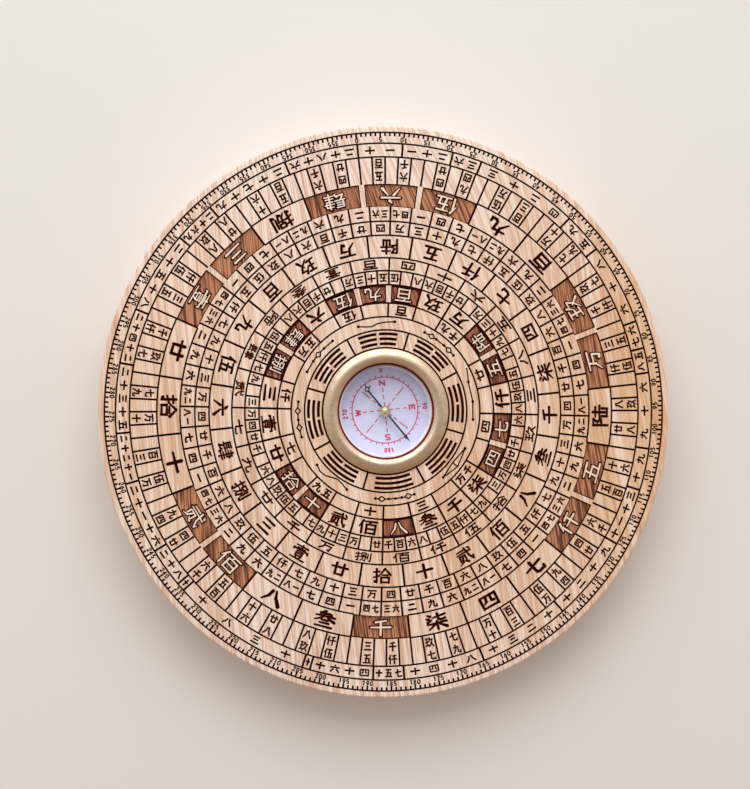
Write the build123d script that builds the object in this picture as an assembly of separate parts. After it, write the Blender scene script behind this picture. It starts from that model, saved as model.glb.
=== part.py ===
from build123d import *
from math import degrees, radians, sin
import os

os.makedirs("parts", exist_ok=True)

# A feng shui compass lies face up. Z runs up through its centre, the ring mark 0 points along +Y,
# and ring angles run clockwise as seen from above. Every size is in millimetres.

# Wooden disc
disc_diameter = 150.0
disc_thickness = 15.5
disc_edge_radius = 0.4

# Engraving in the face of the disc
line_width = 0.46
line_depth = 0.5
divider_width = 0.5
panel_depth = 0.6
panel_bar_width = 1.3
bezel_line_gap = 0.24
cut_overrun = 1.0

# Radius of each engraved ring line, from the rim inwards, as a share of the way from the bezel's line
# to the rim
ring_line_shares = (
    0.9709, 0.9220, 0.8604, 0.7387, 0.6359, 0.5699, 0.5065,
    0.4054, 0.3472, 0.2838, 0.2015, 0.1398, 0.0804,
)
direction_count = 24
dark_cells = (23, 0, 1, 4, 5, 7, 8, 12, 15, 16, 20, 21)

# Eight trigrams, clockwise from the mark 0, each from its inner bar outwards: 1 whole, 0 broken
trigrams = ((0, 0, 0), (1, 0, 0), (1, 0, 1), (1, 1, 0), (1, 1, 1), (0, 1, 1), (0, 1, 0), (0, 0, 1))
trigram_bar_width_share = 0.148
trigram_reach_share = 0.65
trigram_bar_shares = (0.205, 0.49, 0.77)
trigram_gap = 0.85

# Capsule, from its window outwards
window_radius = 12.7
seal_show = 0.55
spacer_show = 0.95
seat_width = 1.2
stack_clearance = 0.1
cup_wall = 0.5
cup_clearance = 0.05
skirt_thickness = 0.55
bore_clearance = 0.05
flange_overhang = 1.3

# Bezel, upwards
bezel_rise = 1.5
bezel_crown_share = 0.4
bezel_outer_slope = 38.0
bezel_inner_slope = 42.0
lip_drop = 0.1
skirt_depth_share = 0.58

# Stack in the cup, from the lip downwards
seal_thickness = 0.3
lens_thickness = 1.2
lens_chamfer = 0.15
needle_headroom = 0.85
dial_thickness = 0.5
cup_floor = 0.6

# Pivot on the dial
pin_radius = 0.3
pin_cone_height = 0.7
pin_tip_radius = 0.03
foot_clearance = 0.01
foot_wall = 0.29
foot_lip = 0.5
foot_height = 0.5

# Needle
needle_heading = 146.6
needle_tip_gap = 1.1
needle_tail_share = 0.7
needle_shank_width = 0.46
needle_thickness = 0.25
needle_lift = 1.7
arrow_length = 2.3
arrow_width = 0.85
tail_ring_radius = 0.68
tail_ring_hole_share = 0.53
prong_length = 0.85
prong_width = 0.32
prong_angle = 34.0
prong_turn = 50.0

# Cap that carries the needle, and the jewel in it
cap_bore_play = 0.25
cap_spigot_wall = 0.25
cap_rivet_lip = 0.15
cap_rivet_height = 0.2
cap_shoulder = 0.62
cap_wall_height = 0.5
cap_dome_height = 1.0
cap_roof = 0.25
hub_inset = 0.15
jewel_height = 0.6
jewel_recess_share = 0.76
jewel_recess_height = 0.38
jewel_clearance = 0.03

# Radii of the capsule, which follow from the sizes above
stack_radius = window_radius + seat_width
cup_inner_radius = stack_radius + stack_clearance
cup_outer_radius = cup_inner_radius + cup_wall
skirt_inner_radius = cup_outer_radius + cup_clearance
skirt_outer_radius = skirt_inner_radius + skirt_thickness
bezel_outer_radius = skirt_outer_radius + flange_overhang
bezel_crown_radius = window_radius + bezel_crown_share * (bezel_outer_radius - window_radius)
spacer_inner_radius = window_radius - spacer_show
foot_spigot_radius = pin_radius + foot_clearance + foot_wall
cap_bore_radius = pin_radius + cap_bore_play
cap_spigot_radius = cap_bore_radius + cap_spigot_wall
cap_radius = cap_spigot_radius + cap_shoulder
needle_tip_length = spacer_inner_radius - needle_tip_gap
needle_tail_length = needle_tail_share * needle_tip_length

# Radii of the engraving
disc_radius = disc_diameter / 2
bezel_line = bezel_outer_radius + bezel_line_gap
ring_lines = [bezel_line + share * (disc_radius - bezel_line) for share in ring_line_shares]

# Heights, from the face of the disc down to the cup and up again to the needle
bezel_top = disc_thickness + bezel_rise
lip_under = disc_thickness - lip_drop
lens_top = lip_under - seal_thickness
lens_bottom = lens_top - lens_thickness
dome_top = lens_bottom - needle_headroom
dome_bottom = dome_top - cap_dome_height
needle_top = dome_bottom - cap_wall_height
needle_bottom = needle_top - needle_thickness
dial_top = needle_bottom - needle_lift
dial_bottom = dial_top - dial_thickness
cup_bottom = dial_bottom - cup_floor
skirt_bottom = lip_under - skirt_depth_share * (lip_under - cup_bottom)
jewel_top = dome_top - cap_roof
jewel_bottom = jewel_top - jewel_height
jewel_apex = jewel_bottom + jewel_recess_height
pin_top = jewel_apex - jewel_clearance


def turned(points):
    """Turns a closed section of (radius, height) points about the disc's axis."""
    return revolve(make_face(Plane.XZ * Polyline(*points, close=True)), Axis.Z)


def washer(inner, outer, bottom, top):
    """A flat ring, or a plain disc where the inner radius is zero."""
    return turned([(inner, bottom), (outer, bottom), (outer, top), (inner, top)])


def sector(inner, outer, start, end, bottom, top):
    """An upright block over a ring's sector, with its angles clockwise from +Y."""
    first = 90 - end
    span = end - start
    inner_arc = CenterArc((0, 0), inner, first, span)
    outer_arc = CenterArc((0, 0), outer, first, span)
    sides = Line(inner_arc @ 0, outer_arc @ 0) + Line(inner_arc @ 1, outer_arc @ 1)
    face = make_face(inner_arc + outer_arc + sides)
    return Pos(0, 0, bottom) * extrude(face, top - bottom, dir=(0, 0, 1))


def divider(outer, inner, angle):
    """A straight groove along the radius, from one ring line to the next."""
    groove = Box(divider_width, outer - inner, line_depth + cut_overrun)
    middle = (outer + inner) / 2
    height = disc_thickness - line_depth + (line_depth + cut_overrun) / 2
    return Rot(0, 0, -angle) * Pos(0, middle, height) * groove


def direction_cuts(outer, inner, turn, panels):
    """The dividers of a ring of directions and, where it has them, its sunk dark panels."""
    step = 360 / direction_count
    middle = (outer + inner) / 2
    half_bar = degrees(panel_bar_width / 2 / middle)
    cuts = []
    for cell in range(direction_count):
        left = turn + (cell - 0.5) * step
        before = (cell - 1) % direction_count
        dark = panels and cell in dark_cells
        if not (dark and before in dark_cells):
            cuts.append(divider(outer, inner, left))
        if dark:
            after = (cell + 1) % direction_count
            start = left + (half_bar if before in dark_cells else 0)
            end = left + step - (half_bar if after in dark_cells else 0)
            floor = disc_thickness - panel_depth
            roof = disc_thickness + cut_overrun
            cuts.append(sector(inner, outer, start, end, floor, roof))
    return cuts


def trigram_cuts(outer, inner):
    """The bars of the eight trigrams, bent round their ring, and the dividers between them."""
    step = 360 / len(trigrams)
    reach = step * trigram_reach_share / 2
    half_bar = trigram_bar_width_share * (outer - inner) / 2
    floor = disc_thickness - line_depth
    roof = disc_thickness + cut_overrun
    cuts = []
    for place, bars in enumerate(trigrams):
        centre = place * step
        cuts.append(divider(outer, inner, centre + step / 2))
        for share, whole in zip(trigram_bar_shares, bars):
            middle = inner + share * (outer - inner)
            low = middle - half_bar
            high = middle + half_bar
            if whole:
                cuts.append(sector(low, high, centre - reach, centre + reach, floor, roof))
            else:
                gap = degrees(trigram_gap / 2 / middle)
                cuts.append(sector(low, high, centre - reach, centre - gap, floor, roof))
                cuts.append(sector(low, high, centre + gap, centre + reach, floor, roof))
    return cuts


def wood_disc():
    """The disc with its rounded edges, ring lines, panels, trigrams and stepped bore."""
    grooves = []
    for radius in ring_lines + [bezel_line]:
        low = radius - line_width / 2
        high = radius + line_width / 2
        grooves.append((high, disc_thickness))
        grooves.append((high, disc_thickness - line_depth))
        grooves.append((low, disc_thickness - line_depth))
        grooves.append((low, disc_thickness))
    bore = [
        (skirt_outer_radius + bore_clearance, disc_thickness),
        (skirt_outer_radius + bore_clearance, skirt_bottom - bore_clearance),
        (cup_outer_radius + bore_clearance, skirt_bottom - bore_clearance),
        (cup_outer_radius + bore_clearance, cup_bottom),
        (0, cup_bottom),
    ]
    face_edge = disc_radius - disc_edge_radius
    section = Polyline((face_edge, disc_thickness), *grooves, *bore, (0, 0), (face_edge, 0))
    low_edge = JernArc((face_edge, 0), (1, 0), disc_edge_radius, 90)
    rim = Line((disc_radius, disc_edge_radius), (disc_radius, disc_thickness - disc_edge_radius))
    high_edge = JernArc((disc_radius, disc_thickness - disc_edge_radius), (0, 1), disc_edge_radius, 90)
    outline = section + low_edge + rim + high_edge
    disc = revolve(make_face(Plane.XZ * outline), Axis.Z)
    turn = 360 / direction_count / 2
    cuts = direction_cuts(ring_lines[3], ring_lines[4], turn, True)
    cuts += direction_cuts(ring_lines[6], ring_lines[7], -turn, False)
    cuts += direction_cuts(ring_lines[7], ring_lines[8], 0, False)
    cuts += direction_cuts(ring_lines[9], ring_lines[10], 0, True)
    cuts += direction_cuts(ring_lines[10], ring_lines[11], 0, False)
    cuts += trigram_cuts(ring_lines[12], bezel_line)
    return disc - cuts


def bezel_ring():
    """The gold ring: a crowned flange over the bore's edge, an inner lip and a skirt down the bore."""
    crown = (bezel_crown_radius, bezel_top)
    outer_bend = (bezel_outer_radius - bezel_crown_radius) / sin(radians(bezel_outer_slope))
    inner_bend = (bezel_crown_radius - window_radius) / sin(radians(bezel_inner_slope))
    outer_curve = JernArc(crown, (1, 0), outer_bend, -bezel_outer_slope)
    inner_curve = JernArc(crown, (-1, 0), inner_bend, bezel_inner_slope)
    underside = Polyline(
        inner_curve @ 1,
        (window_radius, lip_under),
        (skirt_inner_radius, lip_under),
        (skirt_inner_radius, skirt_bottom),
        (skirt_outer_radius, skirt_bottom),
        (skirt_outer_radius, disc_thickness),
        (bezel_outer_radius, disc_thickness),
        outer_curve @ 1,
    )
    return revolve(make_face(Plane.XZ * (outer_curve + inner_curve + underside)), Axis.Z)


def seal_ring():
    """The thin red gasket between the lip and the lens, which shows as a line inside the bezel."""
    return washer(window_radius - seal_show, stack_radius, lens_top, lip_under)


def cover_lens():
    """The clear window, with both edges chamfered."""
    lens = washer(0, stack_radius, lens_bottom, lens_top)
    return chamfer(lens.edges().filter_by(GeomType.CIRCLE), lens_chamfer)


def spacer_ring():
    """The white collar that keeps the lens above the needle."""
    return washer(spacer_inner_radius, stack_radius, dial_top, lens_bottom)


def dial_card():
    """The printed card, with a hole for the pivot's spigot."""
    return washer(foot_spigot_radius + foot_clearance, stack_radius, dial_bottom, dial_top)


def capsule_cup():
    """The drawn metal cup that holds the whole capsule together inside the disc."""
    return turned([
        (0, cup_bottom),
        (cup_outer_radius, cup_bottom),
        (cup_outer_radius, lip_under),
        (cup_inner_radius, lip_under),
        (cup_inner_radius, dial_bottom),
        (0, dial_bottom),
    ])


def pivot_foot():
    """The brass bush on the dial that holds the pin upright."""
    bore = pin_radius + foot_clearance
    foot_radius = foot_spigot_radius + foot_lip
    return turned([
        (bore, dial_bottom),
        (foot_spigot_radius, dial_bottom),
        (foot_spigot_radius, dial_top),
        (foot_radius, dial_top),
        (foot_radius, dial_top + foot_height / 2),
        (foot_radius - foot_height / 2, dial_top + foot_height),
        (bore, dial_top + foot_height),
    ])


def pivot_pin():
    """The steel point that the needle turns on."""
    return turned([
        (0, dial_bottom),
        (pin_radius, dial_bottom),
        (pin_radius, pin_top - pin_cone_height),
        (pin_tip_radius, pin_top),
        (0, pin_top),
    ])


def needle_blade():
    """The flat steel needle: an arrow on one arm, a ring with two prongs on the other."""
    arrow_back = needle_tip_length - arrow_length
    tail_start = tail_ring_radius - needle_tail_length
    shank = Pos(0, (arrow_back + tail_start) / 2) * Rectangle(
        needle_shank_width, arrow_back - tail_start + needle_shank_width
    )
    arrow = make_face(Polyline(
        (0, needle_tip_length),
        (arrow_width / 2, arrow_back),
        (0, arrow_back + arrow_width / 2),
        (-arrow_width / 2, arrow_back),
        close=True,
    ))
    neck = Pos(0, arrow_back) * Rectangle(needle_shank_width, arrow_width)
    outline = shank + neck + arrow + Circle(cap_radius - hub_inset)
    outline += Pos(0, -needle_tail_length) * Circle(tail_ring_radius)
    for side in (-1, 1):
        prong = Pos(0, -tail_ring_radius + prong_width / 2 - prong_length / 2) * Rectangle(
            prong_width, prong_length
        )
        outline += Pos(0, -needle_tail_length) * Rot(0, 0, side * prong_angle - prong_turn) * prong
    outline -= Pos(0, -needle_tail_length) * Circle(tail_ring_hole_share * tail_ring_radius)
    outline -= Circle(cap_spigot_radius)
    blade = Pos(0, 0, needle_bottom) * extrude(outline, needle_thickness)
    return Rot(0, 0, -needle_heading) * blade


def needle_cap():
    """The domed brass cap, riveted through the blade, with a bore for the jewel and the pin."""
    dome_radius = (cap_radius**2 + cap_dome_height**2) / (2 * cap_dome_height)
    dome_middle = cap_radius / 2
    middle_height = dome_top - dome_radius + (dome_radius**2 - dome_middle**2) ** 0.5
    dome = ThreePointArc((cap_radius, dome_bottom), (dome_middle, middle_height), (0, dome_top))
    rivet_radius = cap_spigot_radius + cap_rivet_lip
    rivet_bottom = needle_bottom - cap_rivet_height
    section = Polyline(
        (0, dome_top),
        (0, jewel_top),
        (cap_bore_radius, jewel_top),
        (cap_bore_radius, rivet_bottom),
        (rivet_radius, rivet_bottom),
        (rivet_radius, needle_bottom),
        (cap_spigot_radius, needle_bottom),
        (cap_spigot_radius, needle_top),
        (cap_radius, needle_top),
        (cap_radius, dome_bottom),
    )
    return revolve(make_face(Plane.XZ * (dome + section)), Axis.Z)


def cap_jewel():
    """The hard cup bearing in the cap, with a conical recess that sits over the pin's point."""
    return turned([
        (0, jewel_apex),
        (pin_tip_radius, jewel_apex),
        (jewel_recess_share * cap_bore_radius, jewel_bottom),
        (cap_bore_radius, jewel_bottom),
        (cap_bore_radius, jewel_top),
        (0, jewel_top),
    ])


pieces = (
    wood_disc, bezel_ring, seal_ring, cover_lens, spacer_ring, dial_card,
    capsule_cup, pivot_foot, pivot_pin, needle_blade, needle_cap, cap_jewel,
)
for piece in pieces:
    solid = piece()
    export_step(solid, f"parts/{piece.__name__}.step")
    print(piece.__name__, round(solid.volume, 3), "mm3")
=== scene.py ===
from math import atan2, cos, degrees, hypot, pi, radians, sin

import bpy
from mathutils import Matrix, Vector, geometry


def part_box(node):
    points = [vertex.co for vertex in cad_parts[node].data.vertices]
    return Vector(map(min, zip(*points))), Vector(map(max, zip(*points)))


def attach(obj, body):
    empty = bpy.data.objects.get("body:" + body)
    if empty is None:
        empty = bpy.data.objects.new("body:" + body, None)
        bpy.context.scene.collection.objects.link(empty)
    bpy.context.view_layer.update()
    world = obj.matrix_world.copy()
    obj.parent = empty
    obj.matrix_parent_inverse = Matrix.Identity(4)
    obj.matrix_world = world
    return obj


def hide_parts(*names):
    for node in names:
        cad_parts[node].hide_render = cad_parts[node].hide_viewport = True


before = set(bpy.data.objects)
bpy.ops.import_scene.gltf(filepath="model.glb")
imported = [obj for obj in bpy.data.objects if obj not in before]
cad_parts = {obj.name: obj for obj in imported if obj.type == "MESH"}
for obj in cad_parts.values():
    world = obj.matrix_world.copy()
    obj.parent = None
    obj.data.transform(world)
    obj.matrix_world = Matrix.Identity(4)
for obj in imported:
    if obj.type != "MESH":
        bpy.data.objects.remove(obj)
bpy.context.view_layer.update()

# The compass lies face up. Its ring mark 0 points along +Y, and ring angles run clockwise from
# above. Lengths are in millimetres until a mesh is made, and MM turns them to metres.
MM = 0.001


# Sizes of the wooden disc
DISC_RADIUS = 75.0
FACE_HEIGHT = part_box("wood_disc")[1].z / MM
EDGE_RADIUS = 0.4
EDGE_STEPS = 5
RING_LINES = (73.3, 70.45, 66.85, 59.75, 53.75, 49.9, 46.2, 40.3, 36.9, 33.2, 28.4, 24.8, 21.33)
BEZEL_LINE = 16.64
LINE_WIDTH = 0.46
BOLD_DIVIDER_WIDTH = 0.58
DIVIDER_WIDTH = 0.52
LINE_DEPTH = 0.5
PANEL_DEPTH = 0.6
PANEL_BAR = 1.3
PANEL_BORDER = 0.28
SKIRT_BORE = 15.15
CUP_BORE = 14.55
DARK_CELLS = (23, 0, 1, 4, 5, 7, 8, 12, 15, 16, 20, 21)

# Sizes of the capsule's pieces, and how many steps its turned pieces have round them
WINDOW_RADIUS = 12.7
SEAL_RADIUS = 12.2
COLLAR_RADIUS = 11.75
STACK_RADIUS = 13.9
BEZEL_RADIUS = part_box("bezel_ring")[1].x / MM
BEZEL_CROWN = 14.18
BEZEL_STEPS = 192
STACK_STEPS = 144
OUTER_SLOPE = 38.0
INNER_SLOPE = 42.0
CORNER_EASE = 0.15
SKIRT_RADII = (14.55, 15.1)
LENS_CHAMFER = 0.15
COLLAR_CHAMFER = 0.1

# Marks on the card under the window
PRINT_THICKNESS = 0.02
PRINT_CENTRE = (0.12, 0.26)
TICK_CIRCLE = 8.75
TICK_COUNT = 36
TICK_GAP = 0.08
TICK_LENGTH = 0.62
TICK_WIDTH = 0.24
DASH_WIDTH = 0.27


# Numerals as pen strokes in a box of 100 by 100, each stroke a row of x,y corners
NUMERALS = {
    "one": "8,50 92,54",
    "two": "22,78 78,80; 8,20 92,24",
    "three": "16,86 84,88; 24,52 76,54; 8,12 92,16",
    "four": "12,84 12,10; 12,84 88,84 88,10; 12,14 88,14; 40,84 36,50 24,38; 62,84 62,46 76,42",
    "five": "14,90 86,92; 46,90 34,10; 22,54 76,54 70,10; 4,10 96,12",
    "six": "44,98 56,82; 6,64 94,66; 38,50 10,6; 62,50 92,6",
    "seven": "6,54 92,66; 44,94 46,16 58,8 88,8 90,24",
    "eight": "38,84 30,46 6,8; 54,90 66,50 94,8",
    "nine": "40,96 38,50 8,6; 10,66 66,70 62,20 72,8 92,10 92,32",
    "ten": "4,54 96,56; 50,96 50,4",
    "score": "4,66 96,68; 28,92 28,16; 72,92 72,16; 28,18 72,18",
    "hundred": "6,92 94,94; 48,92 38,74; 20,70 20,4; 20,70 80,70 80,4; 20,40 80,40; 20,8 80,8",
    "thousand": "76,94 24,82; 4,50 96,54; 50,86 50,2",
    "myriad": "6,86 94,88; 40,86 34,40 8,8; 38,56 82,56 74,8 60,14",
    "formal one": "14,90 86,92; 50,100 50,76; 28,76 72,76; 6,58 8,66 92,66 94,56; 30,52 70,52;"
                  "32,40 32,22; 32,40 68,40 68,22; 32,24 68,24; 36,18 42,6; 64,18 58,6; 6,2 94,4",
    "formal two": "14,84 54,86; 8,66 92,70; 64,98 74,40 92,8 97,28; 82,96 90,86; 18,52 18,16;"
                  "18,52 52,52 52,16; 36,44 28,12 6,0; 40,16 58,2",
    "formal three": "48,100 24,84 74,86; 62,92 76,80; 6,68 94,70; 46,84 34,56 4,38; 56,70 70,54 96,42;"
                    "34,44 66,46; 28,26 72,28; 10,4 90,6",
    "formal four": "12,94 46,94; 12,94 12,52; 12,80 42,80; 12,66 42,66; 2,50 50,52; 22,48 10,18 44,26;"
                   "36,34 48,12; 58,86 90,86 90,52; 54,68 99,68; 58,52 90,52; 56,34 94,34; 54,18 97,18;"
                   "75,99 75,0",
    "formal five": "24,98 2,52; 16,72 16,2; 36,90 92,92; 62,90 52,10; 42,54 84,54 80,10; 30,8 99,10",
    "formal six": "8,94 8,2; 8,92 36,92 22,66 38,46 12,40; 46,80 92,82; 68,98 68,52; 38,54 99,56;"
                  "50,42 50,6; 86,42 86,6; 50,8 86,8; 68,54 68,8",
    "formal seven": "12,96 24,86; 4,76 16,68; 6,50 28,64; 36,76 94,86; 58,98 60,62 70,56 92,60;"
                    "4,38 96,40; 50,50 50,0; 44,36 8,6; 56,36 94,6",
    "formal eight": "2,76 32,80; 18,98 18,8 8,14; 2,40 32,52; 40,92 40,66; 40,92 66,92 66,66; 40,68 66,68;"
                    "36,50 68,50 60,8 50,14; 50,66 46,30 32,6; 78,86 78,28; 95,98 95,8 84,14",
    "formal nine": "4,90 44,92; 8,54 42,56; 2,14 46,24; 24,90 24,18; 62,98 46,58; 58,78 88,78 74,40 44,4;"
                   "66,50 97,4",
    "formal ten": "2,76 36,80; 20,98 20,8 8,14; 2,40 36,52; 68,99 38,56; 68,99 99,58; 52,56 84,56;"
                  "46,40 46,4; 46,40 90,40 90,4; 46,8 90,8",
    "formal hundred": "24,98 2,52; 16,72 16,2; 34,92 99,94; 64,92 56,74; 42,70 42,2; 42,70 92,70 92,2;"
                      "42,38 92,38; 42,6 92,6",
    "formal thousand": "24,98 2,52; 16,72 16,2; 88,94 46,84; 32,52 99,56; 66,88 66,2",
    "0": "24,96 8,50 24,4 76,4 92,50 76,96 24,96",
    "1": "24,78 54,98 54,2",
    "2": "10,80 30,98 70,98 88,76 10,2 92,2",
    "3": "12,96 84,96 46,58 84,44 86,18 60,2 12,6",
    "4": "64,2 64,98 8,32 94,32",
    "5": "84,98 22,98 14,56 62,62 90,36 76,6 10,4",
    "6": "76,96 30,70 10,30 24,4 72,4 90,32 72,56 18,46",
    "7": "10,98 90,98 40,2",
    "8": "50,52 18,74 30,97 70,97 82,74 50,52 12,26 28,3 72,3 88,26 50,52",
    "9": "24,4 70,30 90,70 76,96 28,96 10,68 28,44 82,54",
    "N": "12,2 12,98 88,2 88,98",
    "E": "88,98 14,98 14,2 90,2; 14,52 76,52",
    "S": "88,84 64,98 30,98 12,76 28,56 72,46 88,24 70,2 34,2 10,18",
    "W": "4,98 28,2 50,70 72,2 96,98",
}
FIRST_TEN = ("one", "two", "three", "four", "five", "six", "seven", "eight", "nine", "ten")
# The bold rings take numerals of every kind, and the small cells only those with few strokes.
BOLD_NUMERALS = (
    "six", "formal five", "nine", "hundred", "formal nine", "myriad", "formal six", "five",
    "formal thousand", "seven", "four", "formal seven", "thousand", "formal three", "eight",
    "formal hundred", "formal two", "ten", "formal ten", "score", "formal one", "three",
    "formal eight", "formal four",
)
SMALL_NUMERALS = (
    "five", "six", "four", "nine", "formal five", "hundred", "myriad", "seven", "formal nine",
    "thousand", "three", "formal thousand", "eight", "score", "ten",
)


# Camera, from the lie of the ring lines in the picture
PICTURE_WIDTH = 750
PIXEL_AT_FACE = 0.2624
FOCAL_PIXELS = 1600
FACE_CENTRE_X = 10.82
FACE_CENTRE_Y = 16.6
SIDE_LEAN = 3.0
BACK_LEAN = 0.7
PICTURE_TURN = 6.12
FAR_CLIP = 20


def make_camera():
    """A camera that sees the face at the picture's distance, lean and turn."""
    data = bpy.data.cameras.new("camera")
    data.sensor_fit = "HORIZONTAL"
    data.lens = FOCAL_PIXELS / PICTURE_WIDTH * data.sensor_width
    data.clip_end = FAR_CLIP
    offset = Vector((FACE_CENTRE_X, -FACE_CENTRE_Y, -FOCAL_PIXELS)) * PIXEL_AT_FACE * MM
    seen = (
        Matrix.Rotation(radians(SIDE_LEAN), 4, "Y")
        @ Matrix.Rotation(radians(-BACK_LEAN), 4, "X")
        @ Matrix.Rotation(radians(PICTURE_TURN), 4, "Z")
    )
    face_centre = Vector((0, 0, FACE_HEIGHT * MM))
    camera = bpy.data.objects.new("camera", data)
    to_face = Matrix.Translation(face_centre)
    camera.matrix_world = to_face @ seen.inverted() @ Matrix.Translation(-offset)
    bpy.context.scene.collection.objects.link(camera)
    bpy.context.scene.camera = camera


def link(name, mesh, material=None):
    """Puts a finished mesh in the scene as an object at the origin."""
    piece = bpy.data.objects.new(name, mesh)
    bpy.context.scene.collection.objects.link(piece)
    if material:
        mesh.materials.append(material)
    return piece


# Materials

def colour(hex_value):
    """Turns an sRGB hex value to the linear colour that a shader takes."""
    parts = [int(hex_value[i:i + 2], 16) / 255 for i in (1, 3, 5)]
    return (*[c / 12.92 if c <= 0.04045 else ((c + 0.055) / 1.055) ** 2.4 for c in parts], 1)


def add(tree, kind, inputs=(), **settings):
    """Adds a node with its settings, and sets or links its inputs, by name or by number. A Map
    Range node takes its value in 0, from 1 to 2, and gives it from 3 to 4."""
    node = tree.nodes.new(kind)
    for name, value in settings.items():
        setattr(node, name, value)
    for key, value in dict(inputs).items():
        if isinstance(value, bpy.types.NodeSocket):
            tree.links.new(value, node.inputs[key])
        else:
            node.inputs[key].default_value = value
    return node


def new_material(name):
    """An empty material, its node tree and its main shader."""
    material = bpy.data.materials.new(name)
    material.use_nodes = True
    tree = material.node_tree
    tree.nodes.clear()
    shader = add(tree, "ShaderNodeBsdfPrincipled")
    add(tree, "ShaderNodeOutputMaterial", {"Surface": shader.outputs[0]})
    return material, tree, shader


# Grain of the beech board, in millimetres
GRAIN_LEAN = 0.01
LEAN_GAIN = 0.0009
TOP_BEND = 0.0026
TOP_BEND_SIDE = 10.0
TOP_BEND_REACH = 46.0
SWAY = 3.0
GROWTH_SPACING = 2.2
GROWTH_WANDER = 9.0
TRUNK_DEPTH = 30.0
TRUNK_SIDE = 120.0
GRAIN_TILT = 2.5
# How fast each slow change runs in x, y and z, as 1 over a length
SWAY_RATES = (0.03, 0.015, 0.03)
WANDER_RATES = (0.07, 0.010, 0.02)
PATCH_RATES = (0.06, 0.025, 0.06)
PATCH_SHARE = 0.3
# Streaks: name, 1 over the width, 1 over the length, and how much finer streaks each carries
STREAKS = (
    ("Bands", 0.30, 0.012, 2.0), ("Fibres", 1.7, 0.08, 3.0), ("Flecks", 2.2, 0.12, 2.0),
    ("Veins", 0.9, 0.016, 1.0), ("Tone", 0.02, 0.008, 1.0),
)
# Up through the board a streak changes this share as fast as it does across the grain.
UPRIGHT_SHARE = 0.12
# Painted light and shade in the board's tone, for each millimetre to the right and upwards, and how
# that grows with the distance
PAINTED_SHADE_RIGHT, PAINTED_SHADE_RIGHT_GAIN = 0.003, 0.00002
PAINTED_LIGHT_UP, PAINTED_LIGHT_UP_GAIN = -0.0014, -0.000145


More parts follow.
